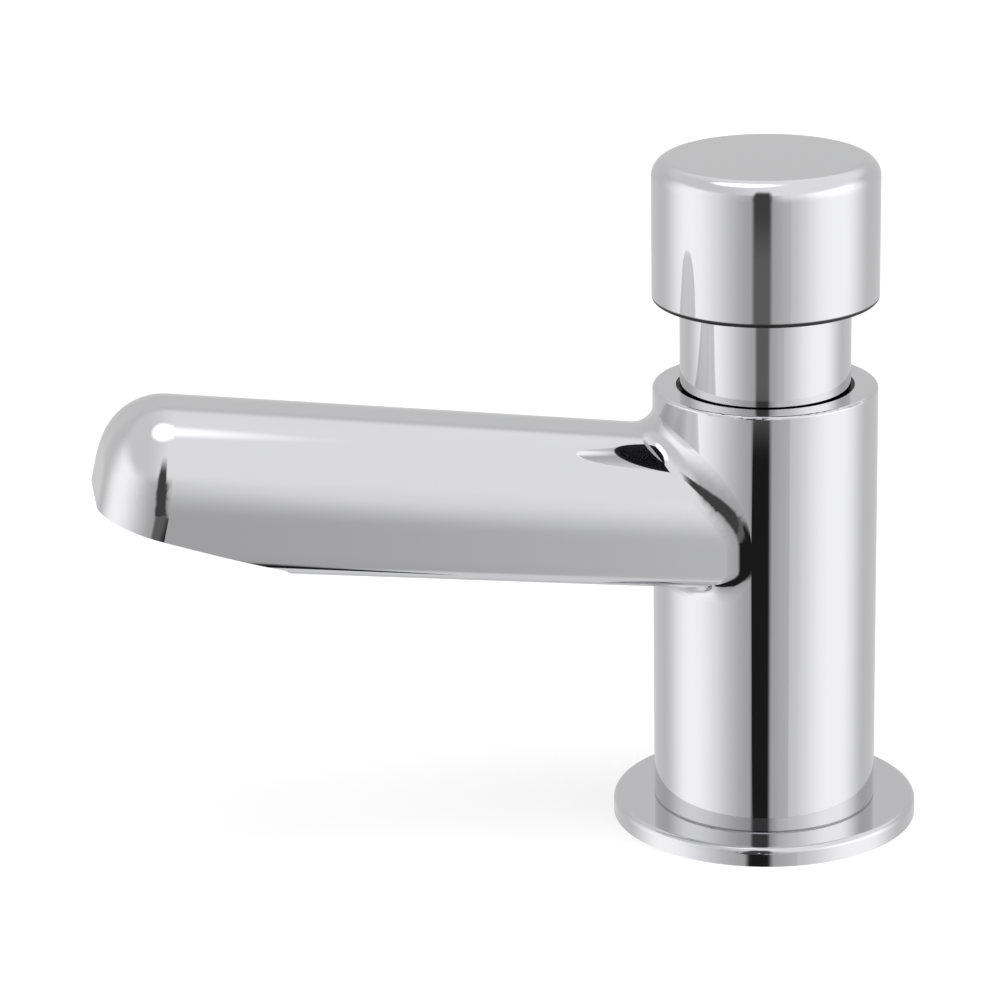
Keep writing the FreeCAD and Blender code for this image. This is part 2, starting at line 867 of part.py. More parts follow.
def hexagon_nut(label, flats, low, height, hole):
    """A hexagon nut with its lower corners turned off."""
    body = new_body(label)
    plan = new_sketch(body, "XY_Plane", label + "_plan", low)
    corner = f"{flats} / 2 / cos(30)"
    draw_outline(
        plan, [(f"{corner} * cos({way})", f"{corner} * sin({way})") for way in range(15, 375, 60)]
    )
    draw_circle(plan, "0", "0", hole)
    pad(body, plan, label + "_hexagon", height)
    land = f"{flats} / 2 * nut_land"
    turn_profile(
        body,
        "PartDesign::Groove",
        [(land, low), (flats, low), (flats, f"{low} + ({flats} - {land}) * tan(nut_bevel)")],
        label + "_bevel",
    )


hexagon_nut(
    "backnut", "backnut_flats", "backnut_bottom", "backnut_height", "shank_radius + seat_gap"
)

# Flow regulator and strainer in the shank's lower end
regulator = plain_ring(
    "flow_regulator", "0", "strainer_bore_radius - seat_gap", "strainer_top", "regulator_top"
)
jet = new_sketch(regulator, "XY_Plane", "regulator_hole", "strainer_top")
draw_circle(jet, "regulator_hole_ring", "0", "regulator_hole_radius")
drilled = pocket(regulator, jet, "regulator_jet", "regulator_height", other_way=True)
repeat_around(regulator, drilled, "regulator_jets", "regulator_holes")

strainer = turned(
    "inlet_strainer",
    [
        ("0", "strainer_bottom"),
        ("strainer_radius", "strainer_bottom"),
        ("strainer_radius", "strainer_top - strainer_rim"),
        ("strainer_bore_radius - seat_gap", "strainer_top - strainer_rim"),
        ("strainer_bore_radius - seat_gap", "strainer_top"),
        ("strainer_radius - strainer_wall", "strainer_top"),
        ("strainer_radius - strainer_wall", "strainer_bottom + strainer_wall"),
        ("0", "strainer_bottom + strainer_wall"),
    ],
)
mesh_hole = new_sketch(strainer, "XZ_Plane", "strainer_hole")
for row in (1, 2):
    draw_circle(
        mesh_hole, "0", f"strainer_bottom + strainer_length * {row} / 3", "strainer_hole_radius"
    )
pierced = pocket(strainer, mesh_hole, "strainer_pierced", "strainer_bore_radius")
repeat_around(strainer, pierced, "strainer_mesh", "strainer_holes")

# Cartridge housing: nose in the lower bore, land in the chamber's mouth, collar in the thread
housing = turned(
    "cartridge_housing",
    [
        ("housing_nose_bore", "housing_bottom"),
        ("housing_radius", "housing_bottom"),
        ("housing_radius", "lower_seal"),
        ("housing_radius - seal_depth", "lower_seal"),
        ("housing_radius - seal_depth", "lower_seal + seal_width"),
        ("housing_radius", "lower_seal + seal_width"),
        ("housing_radius", "land_bottom"),
        ("land_radius", "land_bottom"),
        ("land_radius", "upper_seal"),
        ("land_radius - seal_depth", "upper_seal"),
        ("land_radius - seal_depth", "upper_seal + seal_width"),
        ("land_radius", "upper_seal + seal_width"),
        ("land_radius", "chamber_top"),
        ("collar_radius", "chamber_top"),
        ("collar_radius", "bore_floor"),
        ("housing_bore_radius", "bore_floor"),
        ("housing_bore_radius", "spring_floor"),
        ("housing_ledge_radius", "spring_floor"),
        ("housing_ledge_radius", "seat_top"),
        ("housing_nose_bore", "seat_top"),
    ],
)
port = new_sketch(housing, "XZ_Plane", "port_outline")
draw_circle(port, "0", "spring_floor + port_level", "port_radius")
opened = pocket(housing, port, "port", "chamber_radius")
repeat_around(housing, opened, "ports", "port_count")

o_ring(
    "housing_lower_o_ring",
    "housing_radius - seal_depth",
    "nose_bore_radius",
    "lower_seal + seal_width / 2",
)
o_ring(
    "housing_upper_o_ring",
    "land_radius - seal_depth",
    "chamber_radius",
    "upper_seal + seal_width / 2",
)

# Valve seat, pushed up against the ledge from below
turned(
    "valve_seat_bush",
    [
        ("seat_radius", "seat_level"),
        ("seat_radius + seat_lip", "seat_level"),
        ("seat_radius + seat_lip", "seat_level + seat_lip_height"),
        ("seat_bush_radius", "seat_level + seat_lip_height"),
        ("seat_bush_radius", "seat_groove"),
        ("seat_bush_radius - seat_groove_depth", "seat_groove"),
        ("seat_bush_radius - seat_groove_depth", "seat_groove + seat_groove_width"),
        ("seat_bush_radius", "seat_groove + seat_groove_width"),
        ("seat_bush_radius", "seat_top"),
        ("seat_radius", "seat_top"),
    ],
)
o_ring(
    "seat_o_ring",
    "seat_bush_radius - seat_groove_depth",
    "housing_nose_bore",
    "seat_groove + seat_groove_width / 2",
)

# Cartridge head, which closes the timing chamber and guides the spindle
turned(
    "cartridge_head",
    [
        ("spindle_radius + running_gap", "head_bottom"),
        ("head_seal_radius", "head_bottom"),
        ("head_seal_radius", "head_groove"),
        ("head_seal_radius - seat_groove_depth", "head_groove"),
        ("head_seal_radius - seat_groove_depth", "head_groove + seat_groove_width"),
        ("head_seal_radius", "head_groove + seat_groove_width"),
        ("head_seal_radius", "bore_floor"),
        ("head_flange_radius", "bore_floor"),
        ("head_flange_radius", "head_top"),
        ("bush_radius", "head_top"),
        ("bush_radius", "bush_well"),
        ("spindle_radius + running_gap", "bush_well"),
    ],
)
o_ring(
    "head_o_ring",
    "head_seal_radius - seat_groove_depth",
    "housing_bore_radius",
    "head_groove + seat_groove_width / 2",
)
o_ring(
    "spindle_o_ring",
    "spindle_radius + seal_gap",
    "bush_radius",
    "bush_well + spindle_ring_height / 2",
)
plain_ring(
    "spindle_guide_bush",
    "spindle_radius + running_gap",
    "bush_radius - seat_gap",
    "bush_well + spindle_ring_height",
    "head_top - bush_inset",
)
plain_ring(
    "neck_guide_ring",
    "neck_radius + running_gap",
    "ring_groove_radius - seat_gap",
    "ring_low + seat_gap",
    "ring_high - seat_gap",
)

# Return spring between the housing's ledge and the piston
spring = new_body("return_spring")
wire = new_sketch(spring, "XZ_Plane", "spring_wire")
draw_circle(wire, "coil_radius", "spring_floor + coil_wire_radius + seat_gap", "coil_wire_radius")
coil = spring.newObject("PartDesign::AdditiveHelix", "spring_coil")
coil.Profile = wire
coil.ReferenceAxis = (wire, ["V_Axis"])
coil.Mode = "height-turns-angle"
coil.setExpression("Height", bound("coil_height"))
coil.setExpression("Turns", bound("coil_turns"))

# Spindle, with the piston and the valve that it carries
turned(
    "spindle",
    [
        ("0", "valve_nut_bottom - stem_spare"),
        ("valve_stem_radius", "valve_nut_bottom - stem_spare"),
        ("valve_stem_radius", "seat_level"),
        ("rod_radius", "seat_level"),
        ("rod_radius", "piston_bottom - clip_height"),
        ("clip_floor", "piston_bottom - clip_height"),
        ("clip_floor", "piston_bottom"),
        ("rod_radius", "piston_bottom"),
        ("rod_radius", "piston_top"),
        ("spindle_radius", "piston_top"),
        ("spindle_radius", "spindle_shoulder"),
        ("rod_radius", "spindle_shoulder"),
        ("rod_radius", "top_clip"),
        ("clip_floor", "top_clip"),
        ("clip_floor", "top_clip + clip_height"),
        ("rod_radius", "top_clip + clip_height"),
        ("rod_radius", "top_clip + 2 * clip_height"),
        ("0", "top_clip + 2 * clip_height"),
    ],
)
piston = turned(
    "piston",
    [
        ("rod_hole_radius", "piston_bottom"),
        ("piston_radius", "piston_bottom"),
        ("piston_radius", "lip_low"),
        ("piston_radius - piston_groove", "lip_low"),
        ("piston_radius - piston_groove", "lip_high"),
        ("piston_radius - lip_seal_wall", "lip_high"),
        ("piston_radius - lip_seal_wall", "piston_top"),
        ("rod_hole_radius", "piston_top"),
    ],
)
bleed = new_sketch(piston, "XY_Plane", "bleed_outline", "piston_bottom")
draw_circle(bleed, "bleed_ring", "0", "bleed_radius")
pocket(piston, bleed, "bleed_hole", "piston_height", other_way=True)

turned(
    "piston_lip_seal",
    [
        ("lip_inner", "lip_low + seat_gap"),
        ("piston_radius - seat_gap", "lip_low + seat_gap"),
        ("housing_bore_radius - running_gap", "lip_high - seat_gap"),
        ("housing_bore_radius - running_gap - lip_seal_wall", "lip_high - seat_gap"),
        ("lip_inner + lip_seal_wall + seat_gap", "lip_middle"),
        ("lip_inner + lip_seal_wall", "lip_high - seat_gap"),
        ("lip_inner", "lip_high - seat_gap"),
    ],
)
for label, low in (("piston_clip", "piston_bottom - clip_height"), ("spindle_clip", "top_clip")):
    plain_ring(
        label,
        "clip_floor + seat_gap",
        "rod_radius + clip_reach",
        f"{low} + seat_gap / 2",
        f"{low} + clip_height - seat_gap / 2",
        opening="clip_opening",
    )
plain_ring(
    "valve_washer", "stem_hole_radius", "valve_washer_radius", "valve_bottom", "seat_level"
)
plain_ring("valve_cup", "stem_hole_radius", "valve_cup_radius", "cup_bottom", "valve_bottom")
hexagon_nut(
    "valve_nut", "valve_nut_flats", "valve_nut_bottom", "valve_nut_height", "stem_hole_radius"
)

# Button: neck sleeve, its bush on the spindle, and the cap
turned(
    "neck_sleeve",
    [
        ("neck_radius - neck_wall", "neck_bottom"),
        ("neck_radius", "neck_bottom"),
        ("neck_radius", "neck_groove"),
        ("neck_radius - seat_groove_depth", "neck_groove"),
        ("neck_radius - seat_groove_depth", "neck_groove + seat_groove_width"),
        ("neck_radius", "neck_groove + seat_groove_width"),
        ("neck_radius", "neck_top"),
        ("cap_bush_radius + seat_gap", "neck_top"),
        ("cap_bush_radius + seat_gap", "web_bottom"),
        ("neck_radius - neck_wall", "web_bottom"),
    ],
)
o_ring(
    "cap_o_ring",
    "neck_radius - seat_groove_depth",
    "neck_socket_radius",
    "neck_groove + seat_groove_width / 2",
)
turned(
    "cap_bush",
    [
        ("bush_hole_radius", "web_bottom - cap_bush_flange_height"),
        ("cap_bush_radius + cap_bush_flange", "web_bottom - cap_bush_flange_height"),
        ("cap_bush_radius + cap_bush_flange", "web_bottom"),
        ("cap_bush_radius", "web_bottom"),
        ("cap_bush_radius", "neck_top"),
        ("bush_hole_radius", "neck_top"),
    ],
)
plain_ring(
    "thrust_washer", "rod_hole_radius", "thrust_washer_radius", "thrust_bottom", "thrust_top"
)
cap = turned(
    "push_cap",
    [
        ("0", "cap_top"),
        ("cap_radius", "cap_top"),
        ("cap_radius", "cap_bottom"),
        ("neck_socket_radius", "cap_bottom"),
        ("neck_socket_radius", "neck_top"),
        ("cap_hollow_radius", "neck_top"),
        ("cap_hollow_radius", "cap_top - cap_roof"),
        ("0", "cap_top - cap_roof"),
    ],
)
top_edge = round_edges(
    cap,
    cap.Tip,
    "cap_top_edge",
    "cap_top_round",
    lambda edge: is_circle_at(edge, SIZES["cap_radius"], places.cap_top),
)
round_edges(
    cap,
    top_edge,
    "cap_bottom_edge",
    "cap_bottom_round",
    lambda edge: is_circle_at(edge, SIZES["cap_radius"], places.cap_bottom),
)

document.recompute()
for item in document.Objects:
    if "Invalid" in item.State or "Error" in item.State:
        raise RuntimeError(f"{item.Label} did not build: {item.State}")

pieces = [
    item
    for item in document.Objects
    if item.isDerivedFrom("PartDesign::Body") or item.isDerivedFrom("Part::Torus")
    if item.Name != blank.Name
]
for piece in pieces:
    shape = piece.Shape
    if shape.isNull() or not shape.isValid() or len(shape.Solids) != 1:
        raise RuntimeError(f"{piece.Label} is not one sound solid")

os.makedirs("parts", exist_ok=True)
for piece in pieces:
    piece.Shape.exportStep(f"parts/{piece.Label}.step")
    print(f"{piece.Label}: {piece.Shape.Volume:.1f} mm3")
print(f"{len(pieces)} pieces")
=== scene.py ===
"""Looks of a self-closing basin tap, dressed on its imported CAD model. Sizes are in metres."""

import json
import math

import bmesh
import bpy
from mathutils import Matrix, Vector


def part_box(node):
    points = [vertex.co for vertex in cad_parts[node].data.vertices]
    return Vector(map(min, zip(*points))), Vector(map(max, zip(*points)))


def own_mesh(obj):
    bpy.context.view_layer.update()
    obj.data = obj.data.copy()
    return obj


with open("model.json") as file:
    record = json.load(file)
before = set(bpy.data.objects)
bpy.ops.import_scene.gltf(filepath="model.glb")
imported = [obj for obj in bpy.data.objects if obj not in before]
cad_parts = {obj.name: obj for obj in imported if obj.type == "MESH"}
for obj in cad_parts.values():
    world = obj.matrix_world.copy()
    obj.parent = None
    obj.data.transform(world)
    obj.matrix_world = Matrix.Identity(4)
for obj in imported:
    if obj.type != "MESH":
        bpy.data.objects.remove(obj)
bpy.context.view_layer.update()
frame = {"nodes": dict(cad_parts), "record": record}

scene = bpy.context.scene
scene.view_settings.view_transform = "Standard"

# Camera. It stands about 0.7 m from the tap's axis and looks down on it from the side,
# with the spout pointing to the left.
camera_turn = math.radians(77.5)
across = Vector((math.cos(camera_turn), math.sin(camera_turn), 0))
ahead = Vector((-math.sin(camera_turn), math.cos(camera_turn), 0))
camera_offset = 0.0007
camera_distance = 0.69986
camera_height = 0.29343
camera_pan = math.radians(-3.938)
camera_dip = math.radians(18.466)
camera_roll = math.radians(-1.034)
camera_lens = 148.2

camera = bpy.data.objects.new("camera", bpy.data.cameras.new("camera"))
scene.collection.objects.link(camera)
scene.camera = camera
camera.data.sensor_width = 36
camera.data.lens = camera_lens
camera.data.clip_start = 0.01
camera.data.clip_end = 50
level_aim = across * math.sin(camera_pan) + ahead * math.cos(camera_pan)
aim = level_aim * math.cos(camera_dip) - Vector((0, 0, math.sin(camera_dip)))
right = across * math.cos(camera_pan) - ahead * math.sin(camera_pan)
up = right.cross(aim)
rolled_right = right * math.cos(camera_roll) + up * math.sin(camera_roll)
rolled_up = up * math.cos(camera_roll) - right * math.sin(camera_roll)
stand = Matrix.Translation(
    across * camera_offset - ahead * camera_distance + Vector((0, 0, camera_height))
)
camera.matrix_world = stand @ Matrix((rolled_right, rolled_up, -aim)).transposed().to_4x4()

# World. White wherever the camera or a polished surface sees it, and a plain soft level
# on everything that scatters light.
soft_level = 0.5


def node(tree, kind, inputs=None, **settings):
    """A new node, with each input set to a value or joined to another node's socket."""
    made = tree.nodes.new(kind)
    for name, value in settings.items():
        setattr(made, name, value)
    for name, value in (inputs or {}).items():
        if isinstance(value, bpy.types.NodeSocket):
            tree.links.new(value, made.inputs[name])
        else:
            made.inputs[name].default_value = value
    return made


def arithmetic(tree, operation, first, second=0.0):
    """What a Math node makes of one or two numbers."""
    return node(tree, "ShaderNodeMath", {0: first, 1: second}, operation=operation).outputs[0]


def seen_directly(tree):
    """1 for a ray from the camera, a mirror or a clear surface, 0 for scattered light."""
    rays = node(tree, "ShaderNodeLightPath").outputs
    seen = arithmetic(tree, "MAXIMUM", rays["Is Camera Ray"], rays["Is Glossy Ray"])
    return arithmetic(tree, "MAXIMUM", seen, rays["Is Transmission Ray"])


world = bpy.data.worlds.new("white_room")
scene.world = world
world.use_nodes = True
tree = world.node_tree
tree.nodes.clear()
white = node(tree, "ShaderNodeBackground", {"Color": (1, 1, 1, 1), "Strength": 1.0})
soft = node(tree, "ShaderNodeBackground", {"Color": (1, 1, 1, 1), "Strength": soft_level})
room = node(
    tree,
    "ShaderNodeMixShader",
    {0: seen_directly(tree), 1: soft.outputs[0], 2: white.outputs[0]},
)
node(tree, "ShaderNodeOutputWorld", {"Surface": room.outputs[0]})

# Floor. A pale sheet at the deck's height with the tap hole in it, clear from below so that
# the fixing under the deck can be looked at. Away from the tap it fades into the white.
floor_radius = 4.0
tap_hole_radius = 0.0175
floor_segments = 96
floor_grey = 0.5
floor_white = 0.61
floor_fade = (0.25, 0.9)


def new_object(name, mesh_maker):
    """A bmesh filled by the maker, as an object at the origin."""
    made = bmesh.new()
    mesh_maker(made)
    mesh = bpy.data.meshes.new(name)
    made.to_mesh(mesh)
    made.free()
    piece = bpy.data.objects.new(name, mesh)
    scene.collection.objects.link(piece)
    return piece


def ease(tree, value, start, end, low=0.0, high=1.0):
    """A smooth step from low to high as the value goes from start to end."""
    inputs = {"Value": value, "From Min": start, "From Max": end, "To Min": low, "To Max": high}
    eased = node(tree, "ShaderNodeMapRange", inputs, interpolation_type="SMOOTHSTEP")
    return eased.outputs["Result"]


def make_floor(made):
    bmesh.ops.create_circle(made, segments=floor_segments, radius=tap_hole_radius)
    outward = bmesh.ops.extrude_edge_only(made, edges=made.edges[:])
    rim = [item for item in outward["geom"] if isinstance(item, bmesh.types.BMVert)]
    grow = floor_radius / tap_hole_radius
    bmesh.ops.scale(made, vec=(grow, grow, 1), verts=rim)
    bmesh.ops.recalc_face_normals(made, faces=made.faces[:])
    if made.faces[:][0].normal.z < 0:
        bmesh.ops.reverse_faces(made, faces=made.faces[:])


floor = new_object("floor", make_floor)
floor_finish = bpy.data.materials.new("pale_floor")
floor_finish.use_nodes = True
tree = floor_finish.node_tree
tree.nodes.clear()
floor_color = (floor_grey, floor_grey, floor_grey, 1)
sheet = node(tree, "ShaderNodeBsdfDiffuse", {"Color": floor_color})
place = node(tree, "ShaderNodeTexCoord").outputs["Object"]
distance = node(tree, "ShaderNodeVectorMath", {0: place}, operation="LENGTH").outputs["Value"]
level = ease(tree, distance, *floor_fade, floor_white, 1.0)
whiteness = arithmetic(tree, "MULTIPLY", seen_directly(tree), level)
glow = node(tree, "ShaderNodeEmission", {"Color": (1, 1, 1, 1), "Strength": whiteness})
lit_sheet = node(tree, "ShaderNodeAddShader", {0: sheet.outputs[0], 1: glow.outputs[0]})
clear = node(tree, "ShaderNodeBsdfTransparent")
side = node(tree, "ShaderNodeNewGeometry")
two_sided = node(
    tree,
    "ShaderNodeMixShader",
    {0: side.outputs["Backfacing"], 1: lit_sheet.outputs[0], 2: clear.outputs[0]},
)
node(tree, "ShaderNodeOutputMaterial", {"Surface": two_sided.outputs[0]})
floor.data.materials.append(floor_finish)
floor.visible_glossy = False

# Light tent. White cloth all round the tap that glows by itself in a painted pattern of light:
# bright bands in place of the reflections of a softbox on each side and one overhead, and a
# dark slot for the lens. It shows only in reflections. All its angles are in degrees.
tent_radius = 1.0
tent_middle = 0.06

# The slot is darkest at its foot, with a paler band above that. Its turn is from the camera,
# and its rises are from the level.
slot_turn = -3.5
slot_side = (6.5, 11.5)
slot_top = (40.0, 66.0)
slot_dark = 0.015
slot_haze = 0.15
slot_haze_start = (-16.9, -15.1)
slot_haze_end = (-12.3, -11.0)
slot_upper = 0.07

# A pair of wall levels goes from beside the slot out to the side. The walls' turns are from
# the slot, the back's are from the camera, and straight below is the table's level.
side_turn = 75.0
wall_low = (0.5, 1.32)
wall_high_left = (0.56, 1.32)
wall_high_near = (0.5, 1.0)
wall_high_right = 1.75
near_turn = 24.0
wall_rise = (-14.0, 26.0)
left_to_right = (-25.0, 25.0)
back_level = 0.7
back_turn = (84.0, 126.0)
table_level = 0.86
table_rise = (-60.0, -78.0)

# The roof's edge is measured from straight up. The painted glow over it, in place of the
# overhead softbox, leans to the left and to the back, and its own edge is measured from its
# middle.
roof_level = (0.82, 1.06)
roof_spread = (-0.5, 0.1)
roof_edge = (50.0, 66.0)
overhead_glow_level = 1.9
overhead_glow_edge = (11.0, 18.0)
overhead_glow_left = 9.0
overhead_glow_back = 9.0


def make_tent(made):
    bmesh.ops.create_uvsphere(made, u_segments=64, v_segments=32, radius=tent_radius)
    bmesh.ops.translate(made, vec=(0, 0, tent_middle), verts=made.verts[:])


tent = new_object("light_tent", make_tent)
tent_cloth = bpy.data.materials.new("tent_cloth")
tent_cloth.use_nodes = True
tree = tent_cloth.node_tree
tree.nodes.clear()
place = node(tree, "ShaderNodeTexCoord").outputs["Object"]
from_middle = node(
    tree, "ShaderNodeVectorMath", {0: place, 1: (0, 0, tent_middle)}, operation="SUBTRACT"
).outputs[0]
way = node(tree, "ShaderNodeVectorMath", {0: from_middle}, operation="NORMALIZE").outputs[0]


def along(direction):
    """How far the way from the tap to this spot of cloth points along a direction."""
    product = node(
        tree, "ShaderNodeVectorMath", {0: way, 1: tuple(direction)}, operation="DOT_PRODUCT"
    )
    return product.outputs["Value"]


def blend(tree, share, first, second):
    """From the first value to the second as the share goes from 0 to 1."""
    inputs = {"Factor": share, "A": first, "B": second}
    return node(tree, "ShaderNodeMix", inputs, data_type="FLOAT").outputs["Result"]


slot_angle = math.radians(slot_turn)
slot_way = across * math.sin(slot_angle) - ahead * math.cos(slot_angle)
beside_slot = across * math.cos(slot_angle) + ahead * math.sin(slot_angle)
signed_turn = arithmetic(tree, "ARCTAN2", along(beside_slot), along(slot_way))
signed_turn = arithmetic(tree, "DEGREES", signed_turn)
turn = arithmetic(tree, "ABSOLUTE", signed_turn)
rise = arithmetic(tree, "DEGREES", arithmetic(tree, "ARCSINE", along((0, 0, 1))))
to_right = ease(tree, signed_turn, *left_to_right)
low_wall = ease(tree, turn, slot_side[0], side_turn, *wall_low)
high_left = ease(tree, turn, slot_side[0], side_turn, *wall_high_left)
high_near = ease(tree, turn, slot_side[0], near_turn, *wall_high_near)
high_right = ease(tree, turn, near_turn, side_turn, high_near, wall_high_right)
high_wall = blend(tree, to_right, high_left, high_right)
wall = blend(tree, ease(tree, rise, *wall_rise), low_wall, high_wall)
front_turn = arithmetic(tree, "ABSOLUTE", arithmetic(tree, "ADD", signed_turn, slot_turn))
wall = blend(tree, ease(tree, front_turn, *back_turn), wall, back_level)
wall = blend(tree, ease(tree, rise, *table_rise), wall, table_level)
from_top = arithmetic(tree, "DEGREES", arithmetic(tree, "ARCCOSINE", along((0, 0, 1))))
roof = ease(tree, along(across), *roof_spread, *roof_level)
cloth_level = blend(tree, ease(tree, from_top, *roof_edge, 1.0, 0.0), wall, roof)
shade = ease(tree, rise, *slot_haze_start, slot_dark, slot_haze)
shade = blend(tree, ease(tree, rise, *slot_haze_end), shade, slot_upper)
slot = arithmetic(
    tree, "MULTIPLY", ease(tree, turn, *slot_side, 1.0, 0.0), ease(tree, rise, *slot_top, 1.0, 0.0)
)
cloth_level = blend(tree, slot, cloth_level, shade)
overhead_glow_way = (
    Vector((0, 0, 1))
    - across * math.tan(math.radians(overhead_glow_left))
    + ahead * math.tan(math.radians(overhead_glow_back))
)
from_overhead_glow = arithmetic(
    tree, "DEGREES", arithmetic(tree, "ARCCOSINE", along(overhead_glow_way.normalized()))
)
# The brightest glow on the cloth, a painted highlight in place of the overhead softbox.
level = blend(tree, ease(tree, from_overhead_glow, *overhead_glow_edge, 1.0, 0.0), cloth_level, overhead_glow_level)
cloth = node(tree, "ShaderNodeEmission", {"Color": (1, 1, 1, 1), "Strength": level})
node(tree, "ShaderNodeOutputMaterial", {"Surface": cloth.outputs[0]})
tent.data.materials.append(tent_cloth)
tent.visible_camera = False
tent.visible_diffuse = False
tent.visible_transmission = False
tent.visible_volume_scatter = False
tent.visible_shadow = False


def softbox(name, way_to_lamp, distance, width, power):
    """A square lamp that faces the tap."""
    data = bpy.data.lights.new(name, "AREA")
    data.shape = "SQUARE"
    data.size = width
    data.energy = power
    lamp = bpy.data.objects.new(name, data)
    scene.collection.objects.link(lamp)
    lamp.location = way_to_lamp.normalized() * distance
    lamp.rotation_euler = way_to_lamp.to_track_quat("Z", "Y").to_euler()
    lamp.visible_glossy = False


lamp_distance = 1.3
side_width = 0.9
side_power = 4.0
side_lift = Vector((0, 0, 0.7)) - ahead * 0.3
top_width = 1.1
top_power = 6.0
top_way = Vector((0, 0, 1)) - ahead * 0.2
softbox("left_softbox", side_lift - across, lamp_distance, side_width, side_power)
softbox("right_softbox", side_lift + across, lamp_distance, side_width, side_power)
softbox("top_softbox", top_way, lamp_distance, top_width, top_power)

# Body and spout. One hollow brass casting, ground, polished and chrome plated. Polishing
# leaves its faces very slightly wavy, and handling leaves a thin haze on them.
chrome_color = (0.66, 0.66, 0.675)
haze_size = 0.02


def new_group(name, numbers, results):
    """An empty node group that is given a place and some numbers, and its two end nodes."""
    group = bpy.data.node_groups.new(name, "ShaderNodeTree")
    group.interface.new_socket(name="Vector", in_out="INPUT", socket_type="NodeSocketVector")
    for label, value in numbers.items():
        socket = group.interface.new_socket(
            name=label, in_out="INPUT", socket_type="NodeSocketFloat"
        )
        socket.default_value = value
    for label in results:
        group.interface.new_socket(name=label, in_out="OUTPUT", socket_type="NodeSocketFloat")
    return group, group.nodes.new("NodeGroupInput"), group.nodes.new("NodeGroupOutput")


def noise(tree, place, size, detail=2.0, roughness=0.5):
    """Cloudy noise with blots of about the given size."""
    scale = arithmetic(tree, "DIVIDE", 1.0, size)
    inputs = {"Vector": place, "Scale": scale, "Detail": detail, "Roughness": roughness}
    return node(tree, "ShaderNodeTexNoise", inputs).outputs[0]


polish_haze, given, result = new_group(
    "polish_haze",
    {"Ripple Size": 0.009, "Haze Size": haze_size, "Low": 0.02, "High": 0.05},
    ["Roughness", "Height"],
)
tree = polish_haze
ripple = noise(tree, given.outputs["Vector"], given.outputs["Ripple Size"], 1.0)
haze = noise(tree, given.outputs["Vector"], given.outputs["Haze Size"], 5.0, 0.6)
haze = ease(tree, haze, 0.4, 0.75, given.outputs["Low"], given.outputs["High"])
tree.links.new(haze, result.inputs["Roughness"])
tree.links.new(ripple, result.inputs["Height"])


def new_material(name):
    """An empty material, its node tree, and the place on the tap that it reads."""
    material = bpy.data.materials.new(name)
    material.use_nodes = True
    material.node_tree.nodes.clear()
    place = node(material.node_tree, "ShaderNodeTexCoord").outputs["Object"]
    return material, material.node_tree, place


def marks_of(tree, group, place, numbers):
    """A group in a material, with its own numbers."""
    return node(tree, "ShaderNodeGroup", {"Vector": place, **numbers}, node_tree=group)


def shine(tree, inputs, height, depth):
    """The surface itself, with its relief."""
    relief = node(tree, "ShaderNodeBump", {"Strength": 1.0, "Distance": depth, "Height": height})
    normal = {"Normal": relief.outputs["Normal"]}
    surface = node(tree, "ShaderNodeBsdfPrincipled", {**inputs, **normal})
    node(tree, "ShaderNodeOutputMaterial", {"Surface": surface.outputs[0]})


def dress(names, material):
    """Gives the named CAD nodes their material."""
    for name in names:
        for slot in frame["nodes"][name].material_slots:
            slot.material = material


def chrome(name, ripple_size, low, high, depth):
    """Chrome plate, with the waves and the haze of one piece."""
    material, tree, place = new_material(name)
    numbers = {"Ripple Size": ripple_size, "Haze Size": haze_size, "Low": low, "High": high}
    marks = marks_of(tree, polish_haze, place, numbers)
    shine(
        tree,
        {
            "Base Color": (*chrome_color, 1),
            "Metallic": 1.0,
            "Roughness": marks.outputs["Roughness"],
        },
        marks.outputs["Height"],
        depth,
    )
    return material


cast_chrome = chrome("cast_chrome", ripple_size=0.012, low=0.02, high=0.05, depth=0.000006)
dress(["body_spout_casting"], cast_chrome)

# Base flange. A turned and plated brass ring that the column stands on. It lies lowest, and
# more water dries on it, so its haze is a little stronger.
flange_chrome = chrome("flange_chrome", ripple_size=0.006, low=0.025, high=0.07, depth=0.000003)
dress(["base_flange"], flange_chrome)

# Bare brass. The shank, backnut, cartridge and valve are turned from brass bar and left
# unplated. The lathe leaves fine rings, the metal browns in clouds, and corners are rubbed
# bright where a spanner or a hand has held them.
brass_bright = (0.76, 0.6, 0.33)
brass_brown = (0.5, 0.36, 0.18)
never_worn = 0.05


def axis_distance(tree, parts):
    """How far a place lies from the upright axis, given its three parts."""
    inputs = {"X": parts.outputs["X"], "Y": parts.outputs["Y"]}
    flat_place = node(tree, "ShaderNodeCombineXYZ", inputs).outputs[0]
    length = node(tree, "ShaderNodeVectorMath", {0: flat_place}, operation="LENGTH")
    return length.outputs["Value"]


turned_rings, given, result = new_group(
    "turned_rings", {"Ring Size": 0.0003, "Low": 0.2, "High": 0.38}, ["Roughness", "Height"]
)
tree = turned_rings
parts = node(tree, "ShaderNodeSeparateXYZ", {0: given.outputs["Vector"]})
feed = arithmetic(tree, "ADD", axis_distance(tree, parts), parts.outputs["Z"])
feed = arithmetic(tree, "DIVIDE", feed, given.outputs["Ring Size"])
rings = node(
    tree, "ShaderNodeTexNoise", {"W": feed, "Scale": 1.0, "Detail": 3.0}, noise_dimensions="1D"
).outputs[0]
tree.links.new(
    ease(tree, rings, 0.3, 0.7, given.outputs["Low"], given.outputs["High"]),
    result.inputs["Roughness"],
)
tree.links.new(rings, result.inputs["Height"])

